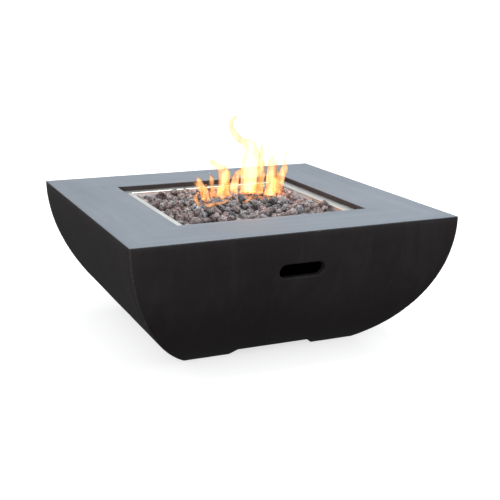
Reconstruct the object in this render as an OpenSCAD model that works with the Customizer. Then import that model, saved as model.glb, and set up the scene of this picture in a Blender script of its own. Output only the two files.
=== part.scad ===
// Square cast-concrete gas fire bowl: a one-piece casting with a drop-in burner pan,
// a grate that holds the lava rock above the burner, and a control panel on one side.
// The origin is the middle of the footprint on the ground. +Z is up, the front is at -Y
// and the control panel is on the +X side. All sizes are in millimetres.

/* [Bowl] */
// Width and depth of the square rim
bowl_w = 864; // [720:2:1060]
// Height of the rim above the ground
bowl_h = 360; // [296:2:440]
// Width of the base where it meets the ground
base_w = 478; // [430:2:560]
// Thickness of the cast walls and floor
wall_t = 20; // [16:1:32]
// Thickness of the cast top deck
deck_t = 36; // [30:1:52]
// Radius of the service hole in the floor
floor_hole_r = 90; // [50:1:100]

/* [Hand slots] */
// Length of each hand slot
slot_w = 120; // [70:1:160]
// Height of each hand slot
slot_h = 36; // [20:1:44]
// Distance from the rim down to the middle of the slot
slot_drop = 98; // [75:1:120]

/* [Feet] */
// Width of the flat part of the relief between two feet
relief_w = 210; // [140:2:260]
// Height of the relief between two feet
relief_h = 22; // [12:1:32]
// How far each end of the relief slopes out towards its foot
relief_slope = 28; // [5:1:40]
// Width of each rubber foot pad
pad_w = 70; // [30:1:80]
// Thickness of each rubber foot pad
pad_t = 6; // [4:1:10]
// How far each pad stands out of the casting
pad_proud = 2; // [1:0.5:3]

/* [Burner pan] */
// Width of the square opening in the deck
opening_w = 522; // [480:2:600]
// Depth of the pan's flange below the rim
rim_recess = 13; // [6:1:24]
// Inside width of the pan's basin
basin_w = 454; // [400:2:456]
// Depth of the basin below its flange
pan_depth = 75; // [66:1:90]
// Thickness of the pan's sheet metal
pan_t = 1.5; // [1:0.1:3]
// Gap round the flange in the deck opening
flange_gap = 2; // [1:0.5:5]
// Gap round the basin in the deck
basin_gap = 4; // [2:0.5:8]

/* [Burner] */
// Radius of the burner ring's centre line
ring_r = 120; // [80:1:125]
// Outside radius of the burner ring's tube
ring_tube_r = 9.5; // [8:0.5:11]
// Outside radius of the tube that crosses the ring
cross_tube_r = 7; // [5:0.5:7.5]
// Wall of the burner's tubes
tube_wall = 1.5; // [1:0.1:2]
// Number of gas ports round the ring
port_count = 24; // [8:1:40]
// Radius of each gas port
port_r = 1.2; // [0.8:0.1:2]
// Gap under the burner ring
ring_lift = 6; // [3:1:10]
// Outside radius of the pipe nipple under the burner
nipple_r = 10.3; // [8:0.1:12]

/* [Grate and rock] */
// Height of the grate's top above the pan's floor
grate_lift = 40; // [36:1:48]
// Radius of the grate's rods
rod_r = 3; // [2:0.5:4]
// Largest spacing of the grate's rods
rod_pitch = 28; // [20:1:40]
// Gap between the grate's frame and the basin wall
grate_gap = 7; // [4:1:15]
// Largest radius of a lava rock
rock_r = 16.4; // [14:0.2:22]
// Gap kept between neighbouring rocks
rock_gap = 4; // [3:0.5:8]
// Height that the rock is heaped up in the middle
rock_heap = 3; // [0:0.5:12]

/* [Control panel] */
// Width of the control panel
panel_w = 150; // [140:1:200]
// Height of the control panel along the wall
panel_h = 96; // [84:1:110]
// Thickness of the control panel
panel_t = 2; // [1:0.1:3]
// Width of the ledge that the panel is screwed to
panel_ledge = 12; // [10:1:15]
// Distance from the rim down to the middle of the panel
panel_drop = 176; // [150:1:190]
// Place of the valve across the panel
valve_y = -30; // [-34:1:-28]
// Place of the igniter across the panel
igniter_y = 38; // [34:1:44]
// Radius of the control knob
knob_r = 22; // [16:1:26]
// How far the knob pushes in
knob_travel = 4; // [2:0.5:5]
// How far the igniter button pushes in
button_travel = 3.5; // [2:0.5:4]

/* [Hidden] */
$fn = 48;

// Colours
concrete = "#37343a";
steel = "#b9bcb8";
zinc = "#8d9093";
brass = "#b58d3d";
black = "#1b1b1d";
red_rock = "#6d4f4a";
grey_rock = "#5d5c5f";

// Clearances
cut = 1;           // how far a cutter runs past the face that it opens
thread_fit = 0.05; // radial gap of a screwed joint
slide_fit = 0.1;   // radial gap of a moving fit
panel_gap = 0.75;  // gap round the panel in its recess
body_gap = 0.3;    // gap between two pieces that move apart
pad_gap = 0.5;     // gap round a foot pad in its pocket
straight_end = 8;  // straight stretch at each end of a pipe or a lead

// The side wall is an arc that is upright at the rim and meets the ground at base_w
lean = (bowl_w - base_w) / 2;
side_r = (lean * lean + bowl_h * bowl_h) / (2 * lean);
arc_x = bowl_w / 2 - side_r;
floor_z = relief_h + wall_t;
deck_z = bowl_h - deck_t;
foot_x = (base_w / 2 + relief_w / 2 + relief_slope) / 2;

// Heights of the pan, the burner and the rock
flange_z = bowl_h - rim_recess;
ledge_z = flange_z - pan_t;
pan_floor_z = flange_z - pan_depth;
pan_under_z = pan_floor_z - pan_t;
ring_z = pan_floor_z + ring_lift + ring_tube_r;
grate_z = pan_floor_z + grate_lift;
rock_pitch = 2 * rock_r + rock_gap;
lower_rock_z = grate_z + rock_r + body_gap;
layer_rise = 1.25 * rock_r;
rock_rows = floor((basin_w - rock_gap) / rock_pitch);

// The grate
grate_w = basin_w - 2 * grate_gap;
flat_t = 4;
flat_h = 10;
weld = 2;
cross_y = ring_r + ring_tube_r + 20;
rod_span = grate_w - 20;
rod_gaps = ceil(rod_span / rod_pitch);

// The gas train under the pan, from the top down
hub_r = 15;
nipple_bore_r = 7.5;
nipple_top_z = pan_floor_z + 8.5;
nipple_end_z = pan_under_z - 42;
washer_t = 1.5;
locknut_h = 10;
mixer_r = 14;
mixer_top_z = nipple_end_z + 12.5;
mixer_z = mixer_top_z - 48;
orifice_r = 5;
collar_h = 10;
elbow_top_z = mixer_z - collar_h;
elbow_z = elbow_top_z - 9;
flare_r = 7.94;    // 3/8 inch flare thread, 15.88 across
flare_l = 16;
elbow_reach = 44;
pipe_r = 6;
nut_r = 12;

// The control panel sits across the arc of the wall, so it leans by panel_tilt
panel_tilt = asin(panel_drop / side_r);
panel_x = sqrt(side_r * side_r - panel_h * panel_h / 4);
panel_back = panel_x - panel_t;
window_w = panel_w - 2 * panel_ledge;
window_h = panel_h - 2 * panel_ledge;
anchor_y = (panel_w - panel_ledge) / 2;
anchor_z = (panel_h - panel_ledge) / 2;
anchor_r = 4;
anchor_l = 14;
screw_r = 2;

// The valve behind the panel, measured back from it
bracket_t = 2;
bracket_x = panel_back - 30 - bracket_t;
bracket_half = 20;
valve_w = 34;
valve_x = bracket_x - 40;
boss_r = 9;
boss_l = 12;
plug_r = 7;
chamber_x = valve_x + 7;
chamber_end = bracket_x + 2;
stem_r = 3;
plug_l = 22.7;
plug_x = chamber_end - body_gap - plug_l;
cup_t = 1.5;
cup_x = plug_x - 0.2 - cup_t;
inlet_x = valve_x + 20;
knob_x = panel_x + knob_travel + 1;
knob_skirt = 6;
knob_l = 24;

// The igniter behind the panel
housing_r = 10.9;
bezel_r = 14;
bezel_t = 2;
bore_r = 7.6;
battery_r = 7.25;
battery_l = 50.5;
button_back = panel_x - 13;
button_front = panel_x + bezel_t + 1.5 + button_travel;
battery_x = button_back - 13 - battery_l;
housing_x = battery_x - 2.5;
terminal_l = 6;

// The pilot bracket and its two probes beside the burner ring
probe_x = ring_r + ring_tube_r + 14.5;
probe_y = 14;
shelf_z = pan_floor_z + 13.5;
plate_t = 1.5;
ceramic_r = 4;
probe_r = 3;
lead_r = 1.6;
foot_l = 24;
bracket_half_w = 24;
screw_y = 12;

// ---- shared shapes ----

// A square block about the Z axis
module square_block(width, z_low, z_high) {
    translate([-width / 2, -width / 2, z_low])
        cube([width, width, z_high - z_low]);
}

// What lies outside one side arc of radius arc_r
module outside_arc(arc_r) {
    difference() {
        translate([max(arc_x, 0) + cut, -bowl_w, -cut])
            cube([bowl_w, 2 * bowl_w, bowl_h + 2 * cut]);
        translate([arc_x, 0, bowl_h])
            rotate([90, 0, 0])
            cylinder(r = arc_r, h = 2 * bowl_w + 2 * cut, center = true, $fn = 360);
    }
}

// A block whose four sides follow the side arc, drawn in by inset
module arc_block(inset, z_low, z_high) {
    difference() {
        square_block(bowl_w + 20, z_low, z_high);
        for (turn = [0:90:270])
            rotate([0, 0, turn]) outside_arc(side_r - inset);
    }
}

// Puts X along the wall's outward normal at the panel, measured from the arc's centre
module at_panel() {
    translate([arc_x, 0, bowl_h])
        rotate([0, panel_tilt, 0])
        children();
}

// A cylinder along X from x_low to x_high
module rod_x(r, x_low, x_high, sides = 48) {
    translate([x_low, 0, 0])
        rotate([0, 90, 0])
        cylinder(r = r, h = x_high - x_low, $fn = sides);
}

// A cylinder along Z from z_low to z_high
module rod_z(r, z_low, z_high, sides = 48) {
    translate([0, 0, z_low])
        cylinder(r = r, h = z_high - z_low, $fn = sides);
}

// Where a point of the panel's frame lies
function panel_point(p) = [
    arc_x + p[0] * cos(panel_tilt) + p[2] * sin(panel_tilt),
    p[1],
    bowl_h - p[0] * sin(panel_tilt) + p[2] * cos(panel_tilt)
];
inward = [-cos(panel_tilt), 0, sin(panel_tilt)];
upward = [sin(panel_tilt), 0, cos(panel_tilt)];

function unit(v) = v / norm(v);

// A curve from a to d, drawn towards b as it leaves and towards c as it arrives
function bend(a, b, c, d, steps) = [
    for (i = [0:steps])
        let (t = i / steps, u = 1 - t)
        u * u * u * a + 3 * u * u * t * b + 3 * u * t * t * c + t * t * t * d
];

// A route that leaves start along out and reaches end from in, straight at both ends
function route(start, out, in, end, steps) =
    let (a = start + straight_end * unit(out), d = end + straight_end * unit(in))
    concat([start], bend(a, a + out, d + in, d, steps), [end]);

// A round tube swept along path, whose turning stays clear of the side vector
module sweep(path, r, side, sides = 10) {
    last = len(path) - 1;
    points = [
        for (i = [0:last])
            let (
                along = unit(path[min(i + 1, last)] - path[max(i - 1, 0)]),
                across = unit(cross(along, side)),
                third = cross(along, across)
            )
            for (k = [0:sides - 1])
                path[i] + r * (cos(360 * k / sides) * across + sin(360 * k / sides) * third)
    ];
    walls = [
        for (i = [0:last - 1])
            for (k = [0:sides - 1])
                let (next = (k + 1) % sides, a = i * sides, b = a + sides)
                [a + k, b + k, b + next, a + next]
    ];
    start_cap = [for (k = [0:sides - 1]) k];
    end_cap = [for (k = [sides - 1:-1:0]) last * sides + k];
    polyhedron(points, concat([start_cap], walls, [end_cap]));
}

// A coil spring along X between two flat seats
module coil(x_low, x_high, r, wire_r, turns) {
    steps = 12 * turns;
    rise = (x_high - x_low - 2 * wire_r) / steps;
    path = [
        for (i = [0:steps])
            [x_low + wire_r + i * rise, r * cos(30 * i), r * sin(30 * i)]
    ];
    sweep(path, wire_r, [1, 0, 0], 6);
}

// ---- the casting ----

module hand_slot() {
    translate([0, -bowl_w / 2 - cut, bowl_h - slot_drop])
        rotate([-90, 0, 0])
        linear_extrude(wall_t + 80)
        union() {
            square([slot_w - slot_h, slot_h], center = true);
            for (side = [-1, 1])
                translate([side * (slot_w - slot_h) / 2, 0])
                circle(d = slot_h);
        }
}

module foot_relief() {
    low = relief_w / 2 + relief_slope;
    rotate([90, 0, 0])
        linear_extrude(2 * bowl_w, center = true)
        polygon([[-low, 0], [low, 0], [relief_w / 2, relief_h], [-relief_w / 2, relief_h]]);
}

module at_feet() {
    for (x = [-foot_x, foot_x], y = [-foot_x, foot_x])
        translate([x, y, 0]) children();
}

module panel_recess() {
    recess_w = panel_w + 2 * panel_gap;
    recess_h = panel_h + 2 * panel_gap;
    depth = side_r - panel_back + 20;
    translate([panel_back, -recess_w / 2, -recess_h / 2])
        cube([depth, recess_w, recess_h]);
    translate([panel_x - wall_t - 30, -window_w / 2, -window_h / 2])
        cube([wall_t + 30, window_w, window_h]);
    at_anchors()
        rod_x(anchor_r + thread_fit, panel_back - anchor_l, panel_x);
}

module concrete_bowl() {
    color(concrete)
    difference() {
        arc_block(0, pad_proud, bowl_h);
        arc_block(wall_t, floor_z, deck_z);
        square_block(opening_w, ledge_z, bowl_h + cut);
        square_block(basin_w + 2 * pan_t + 2 * basin_gap, deck_z - cut, ledge_z + cut);
        hand_slot();
        rotate([0, 0, 180]) hand_slot();
        foot_relief();
        rotate([0, 0, 90]) foot_relief();
        at_feet() square_block(pad_w + 2 * pad_gap, 0, pad_t);
        rod_z(floor_hole_r, 0, floor_z + cut, 96);
        at_panel() panel_recess();
    }
}

module foot_pads() {
    color(black)
        at_feet() square_block(pad_w, 0, pad_t);
}

// ---- the pan and what stands in it ----

module at_probes() {
    for (side = [-1, 1])
        translate([probe_x, side * probe_y, 0]) children(side < 0 ? 0 : 1);
}

module at_bracket_screws() {
    for (side = [-1, 1])
        translate([probe_x + 8 + plate_t + foot_l / 2, side * screw_y, 0]) children();
}

module burner_pan() {
    weep_r = 4;
    weep_x = basin_w / 2 - 30;
    color(steel)
    difference() {
        union() {
            square_block(opening_w - 2 * flange_gap, ledge_z, flange_z);
            square_block(basin_w + 2 * pan_t, pan_under_z, flange_z);
        }
        square_block(basin_w, pan_floor_z, flange_z + cut);
        rod_z(nipple_r + 2 * slide_fit, pan_under_z - cut, pan_floor_z + cut);
        for (x = [-weep_x, 0, weep_x], y = [-weep_x, 0, weep_x])
            if (x != 0 || y != 0)
                translate([x, y, 0]) rod_z(weep_r, pan_under_z - cut, pan_floor_z + cut);
        at_probes() {
            rod_z(ceramic_r + 1, pan_under_z - cut, pan_floor_z + cut);
            rod_z(ceramic_r + 1, pan_under_z - cut, pan_floor_z + cut);
        }
        at_bracket_screws()
            rod_z(screw_r + slide_fit, pan_under_z - cut, pan_floor_z + cut);
    }
}

module ring_tube(r) {
    translate([0, 0, ring_z])
        rotate_extrude($fn = 96)
        translate([ring_r, 0])
        circle(r = r);
}

module cross_tube(r) {
    translate([0, 0, ring_z])
        rod_x(r, -ring_r, ring_r);
}

module burner_ring() {
    color(steel)
    difference() {
        union() {
            ring_tube(ring_tube_r);
            cross_tube(cross_tube_r);
            rod_z(hub_r, pan_floor_z, ring_z + cross_tube_r + 3);
        }
        ring_tube(ring_tube_r - tube_wall);
        cross_tube(cross_tube_r - tube_wall);
        rod_z(nipple_r + thread_fit, pan_floor_z - cut, nipple_top_z);
        rod_z(nipple_bore_r, pan_floor_z - cut, ring_z);
        for (turn = [0:360 / port_count:359])
            rotate([0, 0, turn + 180 / port_count])
            translate([ring_r, 0, ring_z])
            cylinder(r = port_r, h = ring_tube_r + cut, $fn = 24);
    }
}

module burner_posts() {
    post_r = 4;
    color(steel)
        for (turn = [45:90:315])
            rotate([0, 0, turn])
            translate([ring_r, 0, 0])
            rod_z(post_r, pan_floor_z, pan_floor_z + ring_lift);
}

module rock_grate() {
    flat_top = grate_z - 2 * rod_r + weld;
    flat_z = flat_top - flat_h;
    leg_w = 20;
    end_y = grate_w / 2 - flat_t / 2;
    color(zinc)
    union() {
        for (i = [0:rod_gaps])
            translate([-rod_span / 2 + i * rod_span / rod_gaps, 0, grate_z - rod_r])
            rotate([90, 0, 0])
            cylinder(r = rod_r, h = 2 * end_y, center = true, $fn = 24);
        for (y = [-end_y, -cross_y, cross_y, end_y])
            translate([-grate_w / 2, y - flat_t / 2, flat_z])
            cube([grate_w, flat_t, flat_h]);
        for (side = [-1, 1], y = [-cross_y, cross_y])
            translate([side * (grate_w - flat_t) / 2 - flat_t / 2, y - leg_w / 2, pan_floor_z])
            cube([flat_t, leg_w, flat_top - pan_floor_z]);
    }
}

// ---- the lava rock ----

golden = (1 + sqrt(5)) / 2;
corners = [
    for (a = [-1, 1], b = [-golden, golden])
        each [[0, a, b], [a, b, 0], [b, 0, a]]
];
corner_norm = norm([1, golden]);
function joined(i, j) = norm(corners[i] - corners[j]) < 2.1;
function faces_out(i, j, k) =
    cross(corners[j] - corners[i], corners[k] - corners[i]) * corners[i] > 0;
rock_faces = [
    for (i = [0:9], j = [i + 1:10], k = [j + 1:11])
        if (joined(i, j) && joined(j, k) && joined(i, k))
            faces_out(i, j, k) ? [i, k, j] : [i, j, k]
];

// One rock: twelve corners at uneven distances from its middle
module rock(seed) {
    reach = rands(0.8, 1, 12, seed);
    turn = rands(0, 360, 3, seed + 0.5);
    rotate(turn)
        polyhedron([for (i = [0:11]) corners[i] / corner_norm * reach[i] * rock_r], rock_faces);
}

// A square layer of rocks, rows each way, raised in the middle by heap
module rock_layer(rows, z, heap, first_seed) {
    half = (rows - 1) / 2;
    for (i = [0:rows - 1], j = [0:rows - 1]) {
        seed = first_seed + i * rows + j;
        shift = rands(-rock_gap / 5, rock_gap / 5, 2, seed + 0.25);
        away = norm([i - half, j - half]) / half;
        translate([
            (i - half) * rock_pitch + shift[0],
            (j - half) * rock_pitch + shift[1],
            z + heap * max(0, 1 - away * away)
        ])
            rock(seed);
    }
}

module lava_rocks_lower() {
    color(red_rock)
        rock_layer(rock_rows, lower_rock_z, 0, 100);
}

module lava_rocks_upper() {
    color(grey_rock)
        rock_layer(rock_rows - 1, lower_rock_z + layer_rise, rock_heap, 500);
}

// ---- the gas train under the pan ----

module inlet_nipple() {
    color(zinc)
    difference() {
        rod_z(nipple_r, nipple_end_z, nipple_top_z);
        rod_z(nipple_bore_r, nipple_end_z - cut, nipple_top_z + cut);
    }
}

module pan_washer() {
    color(zinc)
    difference() {
        rod_z(20, pan_under_z - washer_t, pan_under_z);
        rod_z(nipple_r + slide_fit, pan_under_z - washer_t - cut, pan_under_z + cut);
    }
}

module pan_locknut() {
    nut_z = pan_under_z - washer_t - locknut_h;
    color(brass)
    difference() {
        rod_z(18, nut_z, nut_z + locknut_h, 6);
        rod_z(nipple_r + thread_fit, nut_z - cut, nut_z + locknut_h + cut);
    }
}

module air_mixer() {
    hole_z = mixer_z + 18;
    throat_r = 7;
    color(zinc)
    difference() {
        rod_z(mixer_r, mixer_z, mixer_top_z);
        rod_z(nipple_r + thread_fit, nipple_end_z, mixer_top_z + cut);
        rod_z(throat_r, mixer_z + 8, nipple_end_z + cut);
        rod_z(orifice_r + thread_fit, mixer_z - cut, mixer_z + 8 + cut);
        translate([0, 0, hole_z])
            rotate([90, 0, 0])
            cylinder(r = 4.5, h = 2 * mixer_r + 2 * cut, center = true);
    }
}

module gas_orifice() {
    color(brass)
    difference() {
        union() {
            rod_z(8, elbow_top_z, mixer_z, 6);
            rod_z(orifice_r, mixer_z, mixer_z + 8);
        }
        rod_z(1, elbow_top_z - cut, mixer_z + 8 + cut);
    }
}

module gas_elbow() {
    color(brass)
    difference() {
        union() {
            rod_z(10, elbow_z - 10, elbow_top_z);
            translate([0, 0, elbow_z]) rod_x(flare_r, 0, elbow_reach);
        }
        rod_z(4, elbow_z, elbow_top_z + cut);
        translate([0, 0, elbow_z]) rod_x(3.5, 0, elbow_reach + cut);
    }
}

// A flare nut along X: its wide end holds the flare and its back end grips the pipe
module flare_nut() {
    color(brass)
    difference() {
        rod_x(nut_r, -flare_l + 2, 6, 6);
        rod_x(flare_r + thread_fit, -flare_l, 0);
        rod_x(pipe_r + slide_fit, -cut, 6 + cut);
    }
}

module elbow_flare_nut() {
    translate([elbow_reach, 0, elbow_z]) flare_nut();
}

module valve_flare_nut() {
    at_panel()
        translate([valve_x - flare_l, valve_y, 0])
        mirror([1, 0, 0])
        flare_nut();
}

module gas_pipe() {
    start = panel_point([valve_x - flare_l, valve_y, 0]);
    end = [elbow_reach, 0, elbow_z];
    color(steel)
        sweep(route(start, 30 * inward, [80, 0, 0], end, 26), pipe_r, [0, 1, 0], 12);
}

// ---- the valve and its knob ----

module at_valve() {
    at_panel() translate([0, valve_y, 0]) children();
}

module at_valve_screws() {
    for (side = [-1, 1])
        translate([0, side * 13, 0]) children();
}

module valve_body() {
    color(zinc)
    at_valve()
    difference() {
        union() {
            translate([valve_x, -valve_w / 2, -valve_w / 2])
                cube([bracket_x - valve_x, valve_w, valve_w]);
            rod_x(boss_r, bracket_x - cut, bracket_x + boss_l);
            rod_x(flare_r, valve_x - flare_l, valve_x + cut);
        }
        rod_x(plug_r + slide_fit, chamber_x, chamber_end);
        rod_x(stem_r + slide_fit, chamber_x, bracket_x + boss_l + cut);
        rod_x(3.5, valve_x - flare_l - cut, chamber_x + cut);
        translate([inlet_x, 0, 0])
            rod_z(3.5, -valve_w / 2 - cut, 0);
        at_valve_screws()
            rod_x(screw_r + thread_fit, bracket_x - 10, bracket_x + cut);
    }
}

module inlet_fitting() {
    collar = 8;
    color(brass)
    at_valve()
    translate([inlet_x, 0, -valve_w / 2])
    difference() {
        union() {
            rod_z(11, -collar, 0, 6);
            rod_z(flare_r, -collar - flare_l, -collar);
        }
        rod_z(3.5, -collar - flare_l - cut, cut);
    }
}

module valve_bracket() {
    foot = 10;
    wide = 2 * bracket_half;
    high = 32;
    color(zinc)
    at_valve()
    difference() {
        union() {
            translate([bracket_x, -bracket_half, -high / 2])
                cube([bracket_t, wide, high]);
            for (side = [0, 1])
                mirror([0, side, 0]) {
                    translate([bracket_x, bracket_half - bracket_t, -high / 2])
                        cube([panel_back - bracket_x, bracket_t, high]);
                    translate([panel_back - bracket_t, bracket_half - bracket_t, -high / 2])
                        cube([bracket_t, foot, high]);
                }
        }
        rod_x(boss_r + slide_fit, bracket_x - cut, bracket_x + bracket_t + cut);
        at_valve_screws()
            rod_x(screw_r + slide_fit, bracket_x - cut, bracket_x + bracket_t + cut);
    }
}

module valve_screws() {
    head_x = bracket_x + bracket_t;
    color(zinc)
    at_valve()
    at_valve_screws() {
        rod_x(screw_r, bracket_x - 9, head_x);
        rod_x(3.6, head_x, head_x + 2.4);
    }
}

module stem_spring() {
    color(steel)
        at_valve() coil(chamber_x, cup_x, 5.6, 0.5, 4);
}

module spring_cup() {
    color(steel)
        at_valve() rod_x(plug_r - slide_fit, cup_x, cup_x + cup_t);
}

module valve_stem() {
    color(brass)
    at_valve()
    difference() {
        union() {
            rod_x(plug_r, plug_x, plug_x + plug_l);
            rod_x(stem_r, plug_x + plug_l - cut, knob_x + knob_l - 6);
        }
        translate([inlet_x + 4, -plug_r - cut, -plug_r - cut])
            cube([6, 2 * plug_r + 2 * cut, plug_r - 2]);
        translate([knob_x, -stem_r - cut, 2])
            cube([knob_l, 2 * stem_r + 2 * cut, 2 * stem_r]);
    }
}

module control_knob() {
    grip_w = 12;
    grip_r = knob_r - 3;
    color(black)
    at_valve()
    difference() {
        union() {
            rod_x(knob_r, knob_x, knob_x + knob_skirt, 64);
            intersection() {
                rod_x(grip_r, knob_x, knob_x + knob_l, 64);
                translate([knob_x, -grip_w / 2, -grip_r])
                    cube([knob_l, grip_w, 2 * grip_r]);
            }
        }
        difference() {
            rod_x(stem_r + thread_fit, knob_x - cut, knob_x + knob_l - 6);
            translate([knob_x, -stem_r - cut, 2 + thread_fit])
                cube([knob_l, 2 * stem_r + 2 * cut, 2 * stem_r]);
        }
        translate([knob_x + 12, 0, 0])
            rod_z(1.5 + thread_fit, 2, grip_r + cut, 24);
        translate([knob_x + knob_l - 1, -1, 4])
            cube([1 + cut, 2, grip_r]);
    }
}

module knob_set_screw() {
    color(zinc)
    at_valve()
    translate([knob_x + 12, 0, 0])
        rod_z(1.5, 2, 9, 24);
}

// ---- the control panel ----

module at_anchors() {
    for (y = [-anchor_y, anchor_y], z = [-anchor_z, anchor_z])
        translate([0, y, z]) children();
}

module control_panel() {
    stem_hole_r = 5.5;
    color(steel)
    at_panel()
    difference() {
        translate([panel_back, -panel_w / 2, -panel_h / 2])
            cube([panel_t, panel_w, panel_h]);
        translate([0, valve_y, 0])
            rod_x(stem_hole_r, panel_back - cut, panel_x + cut);
        translate([0, igniter_y, 0])
            rod_x(housing_r + slide_fit, panel_back - cut, panel_x + cut);
        at_anchors()
            rod_x(screw_r + 2 * slide_fit, panel_back - cut, panel_x + cut);
    }
}

module panel_screws() {
    color(steel)
    at_panel()
    at_anchors() {
        rod_x(screw_r, panel_x - 12, panel_x);
        rod_x(3.8, panel_x, panel_x + 2.4);
    }
}

module panel_anchors() {
    color(brass)
    at_panel()
    at_anchors()
    difference() {
        rod_x(anchor_r, panel_back - anchor_l, panel_back);
        rod_x(screw_r + thread_fit, panel_back - anchor_l + 2, panel_back + cut);
    }
}

// ---- the igniter ----

module at_igniter() {
    at_panel() translate([0, igniter_y, 0]) children();
}

module igniter_housing() {
    color(black)
    at_igniter()
    difference() {
        union() {
            rod_x(housing_r, housing_x, panel_x + cut);
            rod_x(bezel_r, panel_x, panel_x + bezel_t);
            rod_x(2.5, housing_x - terminal_l, housing_x + cut, 24);
        }
        rod_x(bore_r, battery_x, panel_x + bezel_t + cut);
    }
}

module igniter_nut() {
    nut_l = 6;
    color(black)
    at_igniter()
    difference() {
        rod_x(16, panel_back - nut_l, panel_back, 6);
        rod_x(housing_r + thread_fit, panel_back - nut_l - cut, panel_back + cut);
    }
}

module igniter_button() {
    color(black)
        at_igniter() rod_x(bore_r - slide_fit, button_back, button_front);
}

module igniter_spring() {
    color(steel)
        at_igniter() coil(battery_x + battery_l, button_back, 5.6, 0.5, 5);
}

module igniter_battery() {
    color(zinc)
        at_igniter() rod_x(battery_r, battery_x, battery_x + battery_l);
}

module ignition_lead() {
    start = panel_point([housing_x - terminal_l, igniter_y, 0]);
    end = [probe_x, probe_y, pan_under_z - 12];
    color(black)
        sweep(route(start, 55 * inward, [0, 0, -40], end, 22), lead_r, [0, 1, 0], 8);
}

// ---- the pilot bracket and its probes ----

module pilot_bracket() {
    wide = 2 * bracket_half_w;
    shelf_end = probe_x + 8;
    color(steel)
    difference() {
        union() {
            translate([probe_x - 8, -bracket_half_w, shelf_z])
                cube([16 + plate_t, wide, plate_t]);
            translate([shelf_end, -bracket_half_w, pan_floor_z])
                cube([plate_t, wide, shelf_z + plate_t - pan_floor_z]);
            translate([shelf_end, -bracket_half_w, pan_floor_z])
                cube([foot_l + plate_t, wide, plate_t]);
        }
        at_probes() {
            rod_z(probe_r + slide_fit, shelf_z - cut, shelf_z + plate_t + cut);
            rod_z(ceramic_r + slide_fit, shelf_z - cut, shelf_z + plate_t + cut);
        }
        at_bracket_screws()
            rod_z(screw_r + slide_fit, pan_floor_z - cut, pan_floor_z + plate_t + cut);
    }
}

module bracket_screws() {
    head_z = pan_floor_z + plate_t;
    color(steel)
    at_bracket_screws() {
        rod_z(screw_r, pan_under_z - 6, head_z);
        rod_z(3.6, head_z, head_z + 2.4);
    }
}

module bracket_nuts() {
    color(steel)
    at_bracket_screws()
    difference() {
        rod_z(4, pan_under_z - 3.2, pan_under_z, 6);
        rod_z(screw_r + thread_fit, pan_under_z - 3.2 - cut, pan_under_z + cut);
    }
}

module electrode_ceramic() {
    shelf_top = shelf_z + plate_t;
    color("white")
    translate([probe_x, probe_y, 0])
    difference() {
        union() {
            rod_z(ceramic_r, pan_under_z - 12, shelf_top + 6);
            rod_z(ceramic_r + 1.5, shelf_top, shelf_top + 3);
        }
        rod_z(1.2 + thread_fit, shelf_top, shelf_top + 6 + cut, 24);
    }
}

module electrode_rod() {
    tip_z = shelf_z + plate_t + 9;
    wire_r = 1.2;
    color(zinc)
    translate([probe_x, probe_y, 0])
    union() {
        rod_z(wire_r, shelf_z + plate_t, tip_z, 24);
        translate([0, 0, tip_z]) sphere(r = wire_r, $fn = 24);
        translate([0, 0, tip_z]) rod_x(wire_r - 0.1, -10, 0, 24);
    }
}

module thermocouple_probe() {
    shelf_top = shelf_z + plate_t;
    color(zinc)
    translate([probe_x, -probe_y, 0])
    union() {
        rod_z(probe_r, pan_under_z - 18, shelf_top + 8);
        rod_z(probe_r + 1.5, shelf_top, shelf_top + 2.5, 6);
        translate([0, 0, shelf_top + 8]) sphere(r = probe_r, $fn = 32);
    }
}

module thermocouple_nut() {
    color(brass)
    at_valve()
    translate([inlet_x, 0, 0])
        rod_z(5.5, valve_w / 2, valve_w / 2 + 8, 6);
}

module thermocouple_lead() {
    start = panel_point([inlet_x, valve_y, valve_w / 2 + 8]);
    end = [probe_x, -probe_y, pan_under_z - 18];
    color(brass)
        sweep(route(start, 50 * upward, [0, 0, -20], end, 30), lead_r, [0, 1, 0], 8);
}

concrete_bowl();
foot_pads();
burner_pan();
burner_ring();
burner_posts();
rock_grate();
lava_rocks_lower();
lava_rocks_upper();
inlet_nipple();
pan_washer();
pan_locknut();
air_mixer();
gas_orifice();
gas_elbow();
elbow_flare_nut();
gas_pipe();
valve_flare_nut();
valve_body();
inlet_fitting();
valve_bracket();
valve_screws();
stem_spring();
spring_cup();
valve_stem();
control_knob();
knob_set_screw();
control_panel();
panel_screws();
panel_anchors();
igniter_housing();
igniter_nut();
igniter_button();
igniter_spring();
igniter_battery();
ignition_lead();
pilot_bracket();
bracket_screws();
bracket_nuts();
electrode_ceramic();
electrode_rod();
thermocouple_probe();
thermocouple_nut();
thermocouple_lead();
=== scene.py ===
import math
import random

import bmesh
import bpy
from mathutils import Matrix, Vector


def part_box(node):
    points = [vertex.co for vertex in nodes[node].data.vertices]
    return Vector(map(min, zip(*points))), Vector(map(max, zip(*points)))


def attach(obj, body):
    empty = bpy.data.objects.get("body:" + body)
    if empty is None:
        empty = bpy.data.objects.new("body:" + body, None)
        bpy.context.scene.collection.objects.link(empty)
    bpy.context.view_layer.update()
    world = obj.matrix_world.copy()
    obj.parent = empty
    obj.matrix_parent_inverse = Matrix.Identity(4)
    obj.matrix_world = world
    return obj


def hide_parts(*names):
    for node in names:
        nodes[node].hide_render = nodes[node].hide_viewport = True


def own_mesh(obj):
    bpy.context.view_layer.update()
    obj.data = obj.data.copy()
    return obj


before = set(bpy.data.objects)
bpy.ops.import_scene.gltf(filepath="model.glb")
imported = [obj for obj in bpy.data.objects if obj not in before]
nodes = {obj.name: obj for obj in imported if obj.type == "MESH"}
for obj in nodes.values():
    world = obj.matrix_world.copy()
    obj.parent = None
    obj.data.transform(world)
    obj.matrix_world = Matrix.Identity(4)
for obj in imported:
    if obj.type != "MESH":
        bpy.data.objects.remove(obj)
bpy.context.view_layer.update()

stage = bpy.context.scene
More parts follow.
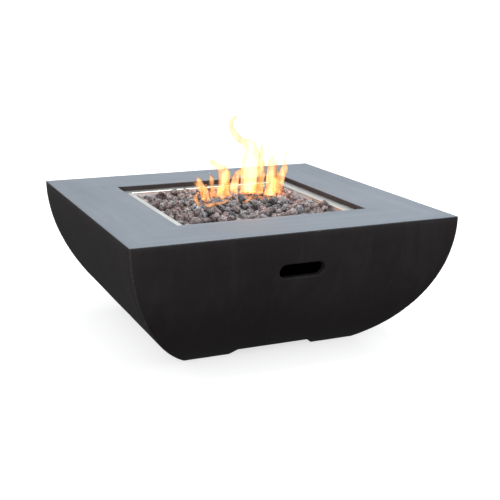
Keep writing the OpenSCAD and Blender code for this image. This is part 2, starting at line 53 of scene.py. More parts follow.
stage.view_settings.view_transform = "Standard"
stage.view_settings.look = "None"

# ---- The studio: a pale round cove, a white sky above it and two soft lamps ----
# The cove is seen but reflects nothing, so the bowl's undercut sides stay as dark as
# they are over shaded paving. Its edge curls up into a wall on every side.


def close():
    """Leaves edit mode if a piece is open."""
    if bpy.context.mode == "EDIT_MESH":
        bpy.ops.object.mode_set(mode="OBJECT")


def begin(add, **size):
    """Adds a primitive with nothing else selected, puts its place in its mesh, and opens it."""
    close()
    bpy.ops.object.select_all(action="DESELECT")
    add(**size)
    bpy.ops.object.transform_apply(location=True, rotation=True, scale=True)
    bpy.ops.object.mode_set(mode="EDIT")
    return bpy.context.active_object


class Wire:
    """One output of a shader node; sums and products of wires add Math nodes."""

    def __init__(self, tree, socket):
        self.tree = tree
        self.socket = socket

    def maths(self, operation, *others):
        """This value put through a Math node with the others."""
        node = self.tree.nodes.new("ShaderNodeMath")
        node.operation = operation
        for slot, value in zip(node.inputs, (self, *others)):
            plug(self.tree, slot, value)
        return Wire(self.tree, node.outputs[0])

    def __add__(self, other):
        return self.maths("ADD", other)

    __radd__ = __add__

    def __mul__(self, other):
        return self.maths("MULTIPLY", other)

    __rmul__ = __mul__

    def __sub__(self, other):
        return self.maths("SUBTRACT", other)

    def __rsub__(self, other):
        return (self * -1.0).maths("ADD", other)

    def __truediv__(self, other):
        return self.maths("DIVIDE", other)

    def __pow__(self, other):
        return self.maths("POWER", other)

    def __abs__(self):
        return self.maths("ABSOLUTE")

    def above(self, low, high):
        """0 below low, 1 above high, smooth between them."""
        spread = self.tree.nodes.new("ShaderNodeMapRange")
        spread.interpolation_type = "SMOOTHSTEP"
        plug(self.tree, spread.inputs["Value"], self)
        spread.inputs["From Min"].default_value = low
        spread.inputs["From Max"].default_value = high
        return Wire(self.tree, spread.outputs["Result"])


def plug(tree, slot, value):
    """Links a wire to a socket, or sets a plain value on it."""
    if isinstance(value, Wire):
        tree.links.new(value.socket, slot)
    elif isinstance(value, tuple) and slot.type == "RGBA":
        slot.default_value = (*value, 1.0)
    else:
        slot.default_value = value


class Finish:
    """A material whose nodes are added one call at a time."""

    def __init__(self, name):
        self.material = bpy.data.materials.new(name)
        self.material.use_nodes = True
        self.tree = self.material.node_tree
        self.shader = self.tree.nodes["Principled BSDF"]
        self.place = self.node("TexCoord", out="Object")

    def node(self, kind, settings=None, sockets=None, out=0):
        """A node of any kind: its settings first, then its sockets' values or wires."""
        node = self.tree.nodes.new("ShaderNode" + kind)
        for name, value in (settings or {}).items():
            setattr(node, name, value)
        for name, value in (sockets or {}).items():
            plug(self.tree, node.inputs[name], value)
        return Wire(self.tree, node.outputs[out])

    def axis(self, letter, vector=None):
        """One coordinate of the piece, or of another vector."""
        return self.node("SeparateXYZ", {}, {"Vector": vector or self.place}, letter)

    def scaled(self, x, y, z):
        """The piece's own coordinates, with each axis scaled."""
        return self.node("Mapping", {}, {"Vector": self.place, "Scale": (x, y, z)})

    def noise(self, scale, detail=4.0, rough=0.5, where=None):
        """Smooth noise from 0 to 1."""
        sockets = {"Vector": where or self.place, "Scale": scale, "Detail": detail, "Roughness": rough}
        return self.node("TexNoise", {}, sockets)

    def mix(self, factor, first, second):
        """One colour turned into another by factor."""
        sockets = {0: factor, 6: first, 7: second}
        return self.node("Mix", {"data_type": "RGBA"}, sockets, 2)

    def bump(self, height, distance, strength=1.0):
        """A surface normal from a height that is counted in units of distance, in metres."""
        return self.node("Bump", {}, {"Height": height, "Distance": distance, "Strength": strength})

    def coat(self, **sockets):
        """Sets or links the shader's own sockets, and hands back the material."""
        for name, value in sockets.items():
            plug(self.tree, self.shader.inputs[name.replace("_", " ")], value)
        return self.material


cove = begin(bpy.ops.mesh.primitive_circle_add, vertices=96, radius=7.0, fill_type="NGON")
cove.name = "studio_cove"
bpy.ops.mesh.select_mode(type="EDGE")
bpy.ops.mesh.region_to_loop()
for lift, spread in ((0.12, 1.08), (0.4, 1.07), (0.8, 1.05), (4.0, 1.04)):
    bpy.ops.mesh.extrude_edges_move(TRANSFORM_OT_translate={"value": (0, 0, lift)})
    bpy.ops.transform.resize(value=(spread, spread, 1), center_override=(0, 0, 0))
bpy.ops.mesh.select_all(action="SELECT")
bpy.ops.mesh.normals_make_consistent(inside=True)
bpy.ops.object.mode_set(mode="OBJECT")
bpy.ops.object.shade_smooth()
cove.visible_diffuse = False
cove.visible_glossy = False
cove.visible_shadow = False
cove.data.materials.append(Finish("pale_cove").coat(
    Base_Color=(0.55, 0.55, 0.55),
    Roughness=1.0,
    Specular_IOR_Level=0.0,
    Emission_Color=(1.0, 1.0, 1.0),
    Emission_Strength=0.70,
))

# The sky is white down to the horizon and dim below it
sky = bpy.data.worlds.new("sky")
stage.world = sky
sky.use_nodes = True
sky_tree = sky.node_tree
ray = sky_tree.nodes.new("ShaderNodeTexCoord")
split = sky_tree.nodes.new("ShaderNodeSeparateXYZ")
sky_tree.links.new(ray.outputs["Generated"], split.inputs[0])
height = Wire(sky_tree, split.outputs["Z"])
plug(sky_tree, sky_tree.nodes["Background"].inputs["Strength"], 0.16 + height.above(-0.06, 0.03) * 0.86)
sky_tree.nodes["Background"].inputs["Color"].default_value = (0.97, 0.985, 1.0, 1.0)


def soft_lamp(name, place, aim, size, watts, colour=(1.0, 1.0, 1.0)):
    """A square area lamp at place that points at aim."""
    data = bpy.data.lights.new(name, "AREA")
    data.shape = "SQUARE"
    data.size = size
    data.energy = watts
    data.color = colour
    lamp = bpy.data.objects.new(name, data)
    stage.collection.objects.link(lamp)
    lamp.location = place
    lamp.rotation_euler = (Vector(aim) - Vector(place)).to_track_quat("-Z", "Y").to_euler()


soft_lamp("overhead_lamp", (0.25, 0.0, 2.6), (0, 0, 0.3), 1.6, 66)
soft_lamp("front_lamp", (-1.8, -2.6, 1.8), (0, 0, 0.3), 1.4, 12)

# ---- The camera, where a person stands in front of one corner and looks down ----
camera_yaw = math.radians(23.57)
camera_pitch = math.radians(14.754)
camera_roll = math.radians(0.367)
camera_data = bpy.data.cameras.new("camera")
camera_data.sensor_width = 36.0
camera_data.lens = 69.69
camera = bpy.data.objects.new("camera", camera_data)
stage.collection.objects.link(camera)
ahead = Vector((
    math.cos(camera_pitch) * math.sin(camera_yaw),
    math.cos(camera_pitch) * math.cos(camera_yaw),
    -math.sin(camera_pitch),
))
level = Vector((math.cos(camera_yaw), -math.sin(camera_yaw), 0))
upright = level.cross(ahead)
right = level * math.cos(camera_roll) + upright * math.sin(camera_roll)
top = upright * math.cos(camera_roll) - level * math.sin(camera_roll)
turn = Matrix((right, top, -ahead)).transposed().to_4x4()
camera.matrix_world = Matrix.Translation((-1.00986, -2.41783, 0.89966)) @ turn
stage.camera = camera

# ---- The fire bowl ----
# One square casting in glass-fibre-reinforced concrete, dyed charcoal through and through,
# trowelled along each limb of the rim and sealed. Its four sides sweep in on one arc to
# corner feet, and the hollow under the deck holds the gas train.

rim_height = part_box("concrete_bowl")[1].z
rim_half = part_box("concrete_bowl")[1].x
foot_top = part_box("concrete_bowl")[0].z
base_half = 0.239
lean = rim_half - base_half
arc_radius = (lean * lean + rim_height * rim_height) / (2 * lean)
arc_centre = rim_half - arc_radius
wall = 0.020
deck_under = 0.324
hollow_floor = 0.042
opening_half = 0.261
ledge_height = 0.3455
basin_hole_half = 0.2325
slot_height = 0.262
slot_radius = 0.018
slot_reach = 0.042
panel_lean = math.asin(0.176 / arc_radius)
panel_size = Vector((0.002, 0.150, 0.096))
panel_face = math.sqrt(arc_radius ** 2 - (panel_size.z / 2) ** 2)
panel_place = Matrix.Translation((arc_centre, 0, rim_height)) @ Matrix.Rotation(panel_lean, 4, "Y")


def pick(piece, kind, test):
    """Selects the open piece's faces, edges or vertices that pass test, and nothing else."""
    bpy.ops.mesh.select_mode(type=kind)
    bpy.ops.mesh.select_all(action="DESELECT")
    form = bmesh.from_edit_mesh(piece.data)
    for element in {"FACE": form.faces, "EDGE": form.edges, "VERT": form.verts}[kind]:
        if test(element):
            element.select_set(True)
    form.select_flush_mode()
    bmesh.update_edit_mesh(piece.data)


def settle(piece, kind, **settings):
    """Adds one modifier to a closed piece and applies it."""
    modifier = piece.modifiers.new(kind.lower(), kind)
    for name, value in settings.items():
        setattr(modifier, name, value)
    bpy.context.view_layer.objects.active = piece
    bpy.ops.object.modifier_apply(modifier=modifier.name)


def cut_away(piece, tool, operation="DIFFERENCE"):
    """Takes the shape of tool out of piece, or joins it on, and throws tool away."""
    close()
    settle(piece, "BOOLEAN", object=tool, operation=operation, solver="EXACT")
    bpy.data.objects.remove(tool)


def block(low, high):
    """An open cube between two corners, as a start or as a cutter."""
    low, high = Vector(low), Vector(high)
    return begin(bpy.ops.mesh.primitive_cube_add, size=1, location=(low + high) / 2, scale=high - low)


def drum(radius, low, high, x=0.0, y=0.0, sides=48):
    """An open upright cylinder between two heights."""
    return begin(
        bpy.ops.mesh.primitive_cylinder_add,
        vertices=sides,
        radius=radius,
        depth=high - low,
        location=(x, y, (low + high) / 2),
    )


def place_in(piece, where):
    """Moves a closed piece's mesh from its own frame to where it is fitted."""
    close()
    bpy.ops.object.select_all(action="DESELECT")
    piece.select_set(True)
    bpy.context.view_layer.objects.active = piece
    piece.matrix_world = where
    bpy.ops.object.transform_apply(location=True, rotation=True, scale=True)
    return piece


def fit(piece, name, material, slot, body, *stands_for, smooth=35):
    """Names, smooths and coats a finished piece, and fixes it to its body."""
    close()
    bpy.ops.object.select_all(action="DESELECT")
    piece.select_set(True)
    bpy.context.view_layer.objects.active = piece
    bpy.ops.object.shade_smooth_by_angle(angle=math.radians(smooth))
    piece.name = name
    piece.data.name = name
    piece.data.materials.clear()
    piece.data.materials.append(material)
    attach(piece, body)
    if stands_for:
        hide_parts(*stands_for)


def wall_half(height, inset=0.0):
    """Half the bowl's width at a height, with the wall drawn in by inset."""
    return arc_centre + math.sqrt((arc_radius - inset) ** 2 - (rim_height - height) ** 2)


def swept_block(low, high, inset, cells, rings):
    """A square loft whose four sides follow the arc, raised ring by ring."""
    piece = begin(
        bpy.ops.mesh.primitive_grid_add,
        x_subdivisions=cells,
        y_subdivisions=cells,
        size=2 * wall_half(low, inset),
        location=(0, 0, low),
    )
    first = math.asin((rim_height - low) / (arc_radius - inset))
    last = math.asin((rim_height - high) / (arc_radius - inset))
    height = low
    for ring in range(1, rings + 1):
        angle = first + (last - first) * ring / rings
        upper = rim_height - (arc_radius - inset) * math.sin(angle)
        ratio = wall_half(upper, inset) / wall_half(height, inset)
        bpy.ops.mesh.extrude_region_move(TRANSFORM_OT_translate={"value": (0, 0, upper - height)})
        bpy.ops.transform.resize(value=(ratio, ratio, 1), center_override=(0, 0, upper))
        height = upper
    bpy.ops.mesh.select_all(action="SELECT")
    bpy.ops.mesh.normals_make_consistent(inside=False)
    bpy.ops.object.mode_set(mode="OBJECT")
    return piece


bowl = swept_block(foot_top, rim_height, 0.0, 24, 30)
ripple = bpy.data.textures.new("mould_ripple", "CLOUDS")
ripple.noise_scale = 0.11
ripple.noise_depth = 2
settle(bowl, "DISPLACE", texture=ripple, texture_coords="LOCAL", strength=0.0011, mid_level=0.5)
cut_away(bowl, swept_block(hollow_floor, deck_under, wall, 6, 14))
cut_away(bowl, block((-opening_half, -opening_half, ledge_height), (opening_half, opening_half, 0.40)))
cut_away(bowl, block((-basin_hole_half, -basin_hole_half, 0.30), (basin_hole_half, basin_hole_half, 0.36)))
cut_away(bowl, drum(0.090, -0.02, 0.06, sides=64))
for side in (-1, 1):
    slot = begin(
        bpy.ops.mesh.primitive_cylinder_add,
        vertices=48,
        radius=slot_radius,
        depth=0.12,
        location=(0, side * 0.41, slot_height),
        rotation=(math.pi / 2, 0, 0),
    )
    for end in (-1, 1):
        pick(slot, "VERT", lambda corner: corner.co.x * end > 0.0005)
        bpy.ops.transform.translate(value=(end * slot_reach, 0, 0))
    cut_away(bowl, slot)

# The arched clearance between the feet, on both axes
for turned in (False, True):
    arch = block((-0.133, -0.6, -0.02), (0.133, 0.6, 0.022))
    pick(arch, "FACE", lambda face: face.normal.z > 0.5)
    bpy.ops.transform.resize(value=(0.105 / 0.133, 1, 1), center_override=(0, 0, 0))
    if turned:
        bpy.ops.mesh.select_all(action="SELECT")
        bpy.ops.transform.rotate(value=math.pi / 2, orient_axis="Z", center_override=(0, 0, 0))
    cut_away(bowl, arch)
foot_place = 0.18625
for x in (-foot_place, foot_place):
    for y in (-foot_place, foot_place):
        cut_away(bowl, block((x - 0.0355, y - 0.0355, -0.02), (x + 0.0355, y + 0.0355, 0.006)))

# The recess and window for the control panel, cut square to the leaning panel
recess = block((panel_face - 0.002, -0.07575, -0.04875), (panel_face + 0.02, 0.07575, 0.04875))
cut_away(bowl, place_in(recess, panel_place))
window = block((panel_face - 0.06, -0.063, -0.036), (panel_face + 0.01, 0.063, 0.036))
cut_away(bowl, place_in(window, panel_place))


def slot_lip(edge):
    """True for the outer edge of a hand slot."""
    middle = (edge.verts[0].co + edge.verts[1].co) / 2
    near_slot = abs(middle.x) < slot_reach + slot_radius + 0.001 and abs(middle.z - slot_height) < 0.0186
    outside = abs(middle.y) > wall_half(middle.z) - 0.003
    return near_slot and outside and edge.calc_face_angle(0) > 0.9


bpy.context.view_layer.objects.active = bowl
bpy.ops.object.mode_set(mode="EDIT")
pick(bowl, "EDGE", slot_lip)
bpy.ops.mesh.bevel(offset=0.0032, segments=4, affect="EDGES")
bpy.ops.object.mode_set(mode="OBJECT")
settle(bowl, "BEVEL", width=0.0012, segments=2, limit_method="ANGLE", angle_limit=math.radians(50))

concrete = Finish("charcoal_concrete")
span_x = abs(concrete.axis("X"))
span_y = abs(concrete.axis("Y"))
rise = concrete.axis("Z")
mottle = concrete.noise(5.0, 6.0, 0.62)
cloud = concrete.noise(1.7, 3.0, 0.5)
grit = concrete.noise(420.0, 3.0, 0.7)
speck = concrete.noise(95.0, 4.0, 0.6)
streak = concrete.noise(1.0, 5.0, 0.6, concrete.scaled(26.0, 26.0, 1.6))
trowel_x = concrete.noise(1.0, 5.0, 0.6, concrete.scaled(2.2, 30.0, 8.0))
trowel_y = concrete.noise(1.0, 5.0, 0.6, concrete.scaled(30.0, 2.2, 8.0))
on_side_limb = (span_x - span_y).above(-0.01, 0.01)
trowel = trowel_x * (1.0 - on_side_limb) + trowel_y * on_side_limb
facing_up = concrete.axis("Z", concrete.node("NewGeometry", out="Normal"))
on_top = facing_up.above(0.5, 0.9) * rise.above(0.352, 0.356)
tone = mottle * 0.55 + cloud * 0.45
side_colour = concrete.mix(tone, (0.0094, 0.0078, 0.0083), (0.0395, 0.0330, 0.0340))
side_colour = concrete.mix(streak.above(0.46, 0.72) * 0.55, side_colour, (0.036, 0.035, 0.038))
bloom = concrete.noise(3.2, 5.0, 0.7).above(0.50, 0.72)
side_colour = concrete.mix(bloom * 0.35, side_colour, (0.045, 0.043, 0.045))
pinhole = concrete.noise(240.0, 2.0, 0.4).above(0.70, 0.76)
side_colour = concrete.mix(pinhole * 0.6, side_colour, (0.004, 0.004, 0.004))
# Painted shade: the sides turn darker and warmer towards the feet, where they curve in under the bowl.
side_colour = concrete.mix((1.0 - rise.above(0.02, 0.24)) * 0.5, side_colour, (0.0105, 0.0066, 0.0060))
# Painted sheen: the top face gets a pale blue-grey colour that stands for the sky the sealed top reflects at
# a low angle; the trowel streaks in it are the casting's own tone.
top_colour_with_painted_sheen = concrete.mix(trowel * 0.45 + tone * 0.55, (0.066, 0.082, 0.101), (0.204, 0.228, 0.258))
colour = concrete.mix(on_top, side_colour, top_colour_with_painted_sheen)

# The arrises wear pale, and lose small chips of the sealed skin
half_here = (arc_radius ** 2 - (rim_height - rise) ** 2.0) ** 0.5 + arc_centre
outer = span_x.maths("MAXIMUM", span_y)
inner = span_x.maths("MINIMUM", span_y)
rim_arris = outer.above(rim_half - 0.0045, rim_half - 0.0008)
rim_arris = rim_arris * rise.above(rim_height - 0.0045, rim_height - 0.001)
corner_arris = (inner - half_here).above(-0.006, -0.0015)
opening_arris = (1.0 - outer.above(opening_half, opening_half + 0.003)) * rise.above(0.357, 0.3595)
arris = rim_arris.maths("MAXIMUM", corner_arris).maths("MAXIMUM", opening_arris)
chip = concrete.noise(150.0, 3.0, 0.75).above(0.60, 0.66) * arris
colour = concrete.mix(arris * (0.22 + speck * 0.3), colour, (0.085, 0.080, 0.080))
colour = concrete.mix(chip * 0.7, colour, (0.17, 0.155, 0.145))
relief = grit * 0.3 + speck * 0.6 + mottle * 1.2 + (trowel - 0.5) * on_top * 0.9 - chip * 2.2 - pinhole * 1.2
concrete.coat(
    Base_Color=colour,
    Roughness=0.50 + tone * 0.14 + on_top * 0.06 + (speck - 0.5) * 0.12 + chip * 0.2,
    Specular_IOR_Level=0.16,
    Normal=concrete.bump(relief, 0.0008, 0.65),
)
fit(bowl, "fire_bowl_casting", concrete.material, "cast_concrete", "fire_bowl", "concrete_bowl")

# ---- The foot pads ----
# Four square rubber pads pressed into pockets under the feet, two millimetres proud of
# the concrete, so that the casting doesn't grind on the paving.


def dress(material, *names):
    """Gives CAD nodes whose shape is right their finished material."""
    for name in names:
        for slot in nodes[name].material_slots:
            slot.material = material


rubber = Finish("pad_rubber")
dust = rubber.noise(60.0, 5.0, 0.65)
dress(rubber.coat(
    Base_Color=rubber.mix(dust, (0.010, 0.010, 0.011), (0.050, 0.046, 0.042)),
    Roughness=0.72 + dust * 0.2,
    Normal=rubber.bump(rubber.noise(700.0, 2.0), 0.0003, 0.5),
), "foot_pads")

# ---- The burner pan ----
# A drop-in tray folded from 1.5 mm stainless sheet, welded at its corners. Its flange
# hangs on the ledge in the deck, and its floor has weep holes and the burner's fittings.

flange_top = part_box("burner_pan")[1].z
flange_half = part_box("burner_pan")[1].x
basin_half = 0.227
basin_depth = 0.075
sheet = 0.0015
fold_slack = 0.0002
pan = begin(bpy.ops.mesh.primitive_plane_add, size=2 * flange_half, location=(0, 0, flange_top))
bpy.ops.mesh.select_mode(type="FACE")
bpy.ops.mesh.inset(thickness=flange_half - basin_half, depth=0)
bpy.ops.mesh.extrude_region_move(TRANSFORM_OT_translate={"value": (0, 0, -basin_depth)})


def basin_fold(edge):
    """True for the basin's folds: at the flange, down the corners and round the floor."""
    ends = [corner.co for corner in edge.verts]
    off_line = [abs(abs(across) - basin_half) for end in ends for across in (end.x, end.y)]
    return max(off_line) < fold_slack


def flange_corner(edge):
    """True for the short upright edges at the flange's own four corners."""
    upper, lower = (end.co for end in edge.verts)
    at_corner = min(abs(upper.x), abs(upper.y)) > flange_half - fold_slack
    return at_corner and (upper.xy - lower.xy).length < fold_slack


pick(pan, "EDGE", basin_fold)
bpy.ops.mesh.bevel(offset=0.0026, segments=4, affect="EDGES")
bpy.ops.object.mode_set(mode="OBJECT")
settle(pan, "SOLIDIFY", thickness=sheet, offset=-1.0)
bpy.ops.object.mode_set(mode="EDIT")
pick(pan, "EDGE", flange_corner)
bpy.ops.mesh.bevel(offset=0.005, segments=5, affect="EDGES")
bpy.ops.object.mode_set(mode="OBJECT")
basin_floor = flange_top - basin_depth
weep = 0.197
pan_holes = [(0.0, 0.0, 0.0105), (0.144, -0.014, 0.005), (0.144, 0.014, 0.005)]
pan_holes += [(x, y, 0.004) for x in (-weep, 0, weep) for y in (-weep, 0, weep) if x or y]
for x, y, radius in pan_holes:
    cut_away(pan, drum(radius, basin_floor - 0.01, basin_floor + 0.01, x, y, 32))
settle(pan, "BEVEL", width=0.0003, segments=2, limit_method="ANGLE", angle_limit=math.radians(60))

steel = Finish("stainless_sheet")
brushed = steel.noise(1.0, 6.0, 0.65, steel.scaled(14.0, 900.0, 900.0))
smear = steel.noise(9.0, 4.0, 0.6)
drops = steel.noise(55.0, 5.0, 0.7).above(0.56, 0.72)
heat = (1.0 - steel.axis("Z").above(0.290, 0.338)) * smear
steel_colour = steel.mix(smear, (0.47, 0.49, 0.47), (0.64, 0.65, 0.63))
steel_colour = steel.mix(drops * 0.35, steel_colour, (0.42, 0.40, 0.36))
steel_colour = steel.mix(heat * 0.1, steel_colour, (0.50, 0.38, 0.26))
# Painted reflection: the basin's inside, below the flange, is painted a pale blue-white that stands for the
# bright sky its walls reflect; it is also made rougher.
inside = 1.0 - steel.axis("Z").above(flange_top - 0.007, flange_top - 0.002)
steel_colour = steel.mix(inside * 0.85, steel_colour, (0.84, 0.85, 0.87))
steel.coat(
    Base_Color=steel_colour,
    Metallic=1.0,
    Roughness=0.27 + brushed * 0.14 + smear * 0.08 + drops * 0.12 + inside * 0.16,
    Normal=steel.bump(brushed * 0.4 + steel.noise(6.0, 2.0) * 3.0, 0.0004, 0.3),
)
fit(pan, "folded_burner_pan", steel.material, "sheet_steel", "fire_bowl", "burner_pan", smooth=20)

# ---- The burner and the rock grate ----
# A ring and cross of drilled stainless tube on four posts spreads the gas. A welded grate
# of round rods stands over it and carries the rock, blued and sooted by the fire.

heated = Finish("heated_steel")
blueing = heated.noise(14.0, 5.0, 0.6)
soot = heated.noise(38.0, 5.0, 0.7).above(0.46, 0.66)
heated_colour = heated.mix(blueing, (0.26, 0.20, 0.15), (0.44, 0.44, 0.45))
dress(heated.coat(
    Base_Color=heated.mix(soot, heated_colour, (0.05, 0.045, 0.042)),
    Metallic=1.0 - soot * 0.7,
    Roughness=0.34 + soot * 0.4 + blueing * 0.1,
    Normal=heated.bump(heated.noise(500.0, 3.0), 0.0003, 0.4),
), "burner_ring", "burner_posts", "rock_grate")

# ---- The lava rock ----
# Tumbled lava stones of 20 to 40 mm, poured over the grate and heaped towards the middle.
# Each lies where it came to rest. Redder stones lie by the walls, grey ones in the fire.

stone_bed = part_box("rock_grate")[1].z
big = 10.0
stone_kinds = 14
# Each layer: stones along a side, their spacing, its height and their radius, ten times full size
pour_layers = (
    (12, 0.368, 0.0, 0.165),
    (15, 0.292, 0.38, 0.128),
    (12, 0.31, 0.70, 0.125),
    (6, 0.32, 1.00, 0.130),
)
settle_frames = 55
red_zone = 0.135


def loose_noise(kind, scale, **settings):
    """A procedural texture that shapes a stone."""
    texture = bpy.data.textures.new("stone_" + kind.lower(), kind)
    texture.noise_scale = scale
    for name, value in settings.items():
        setattr(texture, name, value)
    return texture


lumps = loose_noise("CLOUDS", 0.9, noise_depth=1)
facets = loose_noise("VORONOI", 0.75, weight_1=-1.0, weight_2=1.0)
pores = loose_noise("VORONOI", 0.17)
crumbs = loose_noise("CLOUDS", 0.16, noise_depth=2)
dice = random.Random(23)
moulds = []
for kind in range(stone_kinds):
    mould = begin(bpy.ops.mesh.primitive_ico_sphere_add, subdivisions=3, radius=1.0)
    shape = (dice.uniform(0.95, 1.22), dice.uniform(0.86, 1.05), dice.uniform(0.70, 0.92))
    bpy.ops.transform.resize(value=shape, center_override=(0, 0, 0))
    bpy.ops.object.mode_set(mode="OBJECT")
    mould.location = (kind * 9.0, 3.0, 5.0)
    bpy.context.view_layer.update()
    rough = 1.0 if kind % 2 else 0.55
    shaping = (
        (lumps, 0.60, 0.5),
        (facets, 0.42, 0.45),
        (crumbs, 0.26 * rough, 0.5),
        (pores, 0.26 * rough, 0.6),
    )
    for texture, strength, middle in shaping:
        settle(
            mould, "DISPLACE",
            texture=texture, texture_coords="GLOBAL", strength=strength, mid_level=middle,
        )
    mould.location = (0, 0, 0)
    moulds.append(mould)

stones = []
for count, gap, lift, girth in pour_layers:
    for row in range(count):
        for column in range(count):
            x = (column - (count - 1) / 2) * gap + dice.uniform(-0.05, 0.05)
            y = (row - (count - 1) / 2) * gap + dice.uniform(-0.05, 0.05)
            if count < 8:
                x, y = x + 0.20, y + 0.30
            radius = girth * dice.triangular(0.72, 1.30, 1.0)
            twist = Matrix.Rotation(dice.uniform(0, 6.28), 4, "Z")
            twist = twist @ Matrix.Rotation(dice.uniform(0, 6.28), 4, "X")
            stone = moulds[dice.randrange(stone_kinds)].copy()
            stone.data = stone.data.copy()
            stone.data.transform(twist @ Matrix.Scale(radius, 4))
            stone.location = (x, y, big * stone_bed + 0.20 + lift)
            stage.collection.objects.link(stone)
            stones.append(stone)
for mould in moulds:
    bpy.data.objects.remove(mould)


def select_only(pieces):
    """Selects these objects and makes the first one active."""
    bpy.ops.object.select_all(action="DESELECT")
    for piece in pieces:
        piece.select_set(True)
    bpy.context.view_layer.objects.active = pieces[0]


# The pour, ten times full size so that the solver's margins stay small
bpy.ops.rigidbody.world_add()
stage.rigidbody_world.substeps_per_frame = 12
stage.rigidbody_world.solver_iterations = 20
stage.rigidbody_world.point_cache.frame_end = settle_frames
room = basin_half * big
bed = stone_bed * big
trays = [((-room - 1, -room - 1, bed - 1), (room + 1, room + 1, bed))]
for sign in (-1, 1):
    near, far = sorted((sign * room, sign * (room + 1)))
    trays.append(((near, -room - 1, bed), (far, room + 1, bed + 4)))
    trays.append(((-room - 1, near, bed), (room + 1, far, bed + 4)))
walls = []
for low, high in trays:
    walls.append(block(low, high))
    bpy.ops.object.mode_set(mode="OBJECT")
select_only(walls)
bpy.ops.rigidbody.objects_add(type="PASSIVE")
for piece in walls:
    piece.rigid_body.collision_shape = "MESH"
    piece.rigid_body.friction = 0.9
    piece.rigid_body.use_margin = True
    piece.rigid_body.collision_margin = 0.001
select_only(stones)
bpy.ops.rigidbody.objects_add(type="ACTIVE")
for stone in stones:
    stone.rigid_body.collision_shape = "CONVEX_HULL"
    stone.rigid_body.friction = 0.95
    stone.rigid_body.restitution = 0.0
    stone.rigid_body.angular_damping = 0.5
    stone.rigid_body.use_margin = True
    stone.rigid_body.collision_margin = 0.001
for frame_number in range(1, settle_frames + 1):
    stage.frame_set(frame_number)
select_only(stones)
bpy.ops.object.visual_transform_apply()
bpy.ops.rigidbody.objects_remove()
for piece in walls:
    bpy.data.objects.remove(piece)
bpy.ops.rigidbody.world_remove()
stage.frame_set(1)

select_only(stones)
for stone in stones:
    stone.matrix_world = Matrix.Scale(1 / big, 4) @ stone.matrix_world
bpy.ops.object.transform_apply(location=True, rotation=True, scale=True)
heaps = {"red": [], "grey": []}
for stone in stones:
    middle = sum((corner.co for corner in stone.data.vertices), Vector()) / len(stone.data.vertices)
    edge = max(abs(middle.x), abs(middle.y))
    top_height = max(corner.co.z for corner in stone.data.vertices)
    if edge > basin_half or middle.z < stone_bed:
        bpy.data.objects.remove(stone)
        continue
    if top_height < stone_bed + 0.030:
        settle(stone, "DECIMATE", ratio=0.3)
    share = stone.data.attributes.new("stone_tone", "FLOAT", "POINT")
    share.data.foreach_set("value", [dice.random()] * len(stone.data.vertices))
    red = edge + dice.uniform(-0.09, 0.09) > red_zone
    heaps["red" if red else "grey"].append(stone)


def stone_finish(name, deep, mid, pale, pore_size, shine):
    """Porous lava: pores darkened with painted shade, a mid body, and pale dusty specks that are partly
    painted highlight.
    """
    stone = Finish(name)
    share = stone.node("Attribute", {"attribute_name": "stone_tone"}, {}, "Fac")
    patch = stone.noise(55.0, 5.0, 0.62)
    grain = stone.noise(520.0, 4.0, 0.7)
    cells = {"Vector": stone.place, "Scale": pore_size}
    bubble = stone.node("TexVoronoi", {"feature": "F1"}, cells, "Distance")
    painted_pore_shade = 1.0 - bubble.above(0.12, 0.42)
    body = stone.mix(patch * 0.55 + share * 0.6 - 0.08, deep, mid)
    # Pale specks: dusty grit, made bright enough to stand in part for painted highlights on the stones.
    body = stone.mix((grain * 0.6 + patch * 0.4).above(0.47, 0.66) * (0.5 + share * 0.5), body, pale)
    # Painted shade: the pores are darkened as if shade lies in them.
    body = stone.mix(painted_pore_shade * 0.75, body, tuple(channel * 0.35 for channel in deep))
    height = bubble.above(0.05, 0.5) * 1.0 + grain * 0.7 + patch * 0.5
    return stone.coat(
        Base_Color=body,
        Roughness=shine + grain * 0.3,
        Specular_IOR_Level=0.35,
        Normal=stone.bump(height, 0.0030, 1.0),
    )


stone_looks = {
    "red": (
        stone_finish(
            "red_lava", (0.036, 0.026, 0.028), (0.270, 0.200, 0.198), (0.72, 0.66, 0.65), 230.0, 0.55
        ),
        "lava_rock_red", "lava_rocks_lower",
    ),
    "grey": (
        stone_finish(
            "grey_lava", (0.026, 0.026, 0.031), (0.235, 0.230, 0.242), (0.78, 0.77, 0.79), 180.0, 0.62
        ),
        "lava_rock_grey", "lava_rocks_upper",
    ),
}
for shade, heap in heaps.items():
    select_only(heap)
    bpy.ops.object.join()
    material, finish_slot, stands_for = stone_looks[shade]
    fit(heap[0], shade + "_lava_stones", material, finish_slot, "fire_bowl", stands_for, smooth=50)

# ---- The gas train under the pan ----
# A zinc-plated nipple, washer and locknut clamp the pan; below them a cast mixer, a brass
# orifice and elbow, and a stainless pipe with flare nuts run to the valve at the side.


def metal(name, low, high, rough, grain, drawn=(1.0, 1.0, 1.0), tarnish=(0.10, 0.09, 0.08)):
    """A metal with soft cloudy tone, fine tool marks along the drawn axis, and tarnish."""
    made = Finish(name)
    tint = made.noise(24.0, 4.0, 0.6)
    marks = made.noise(1.0, 5.0, 0.7, made.scaled(*(grain * axis for axis in drawn)))
    stain = made.noise(75.0, 5.0, 0.7).above(0.55, 0.75)
    return made.coat(
        Base_Color=made.mix(stain * 0.35, made.mix(tint, low, high), tarnish),
        Metallic=1.0,
        Roughness=rough + marks * 0.16 + stain * 0.15,
        Normal=made.bump(marks, 0.0002, 0.35),
    )


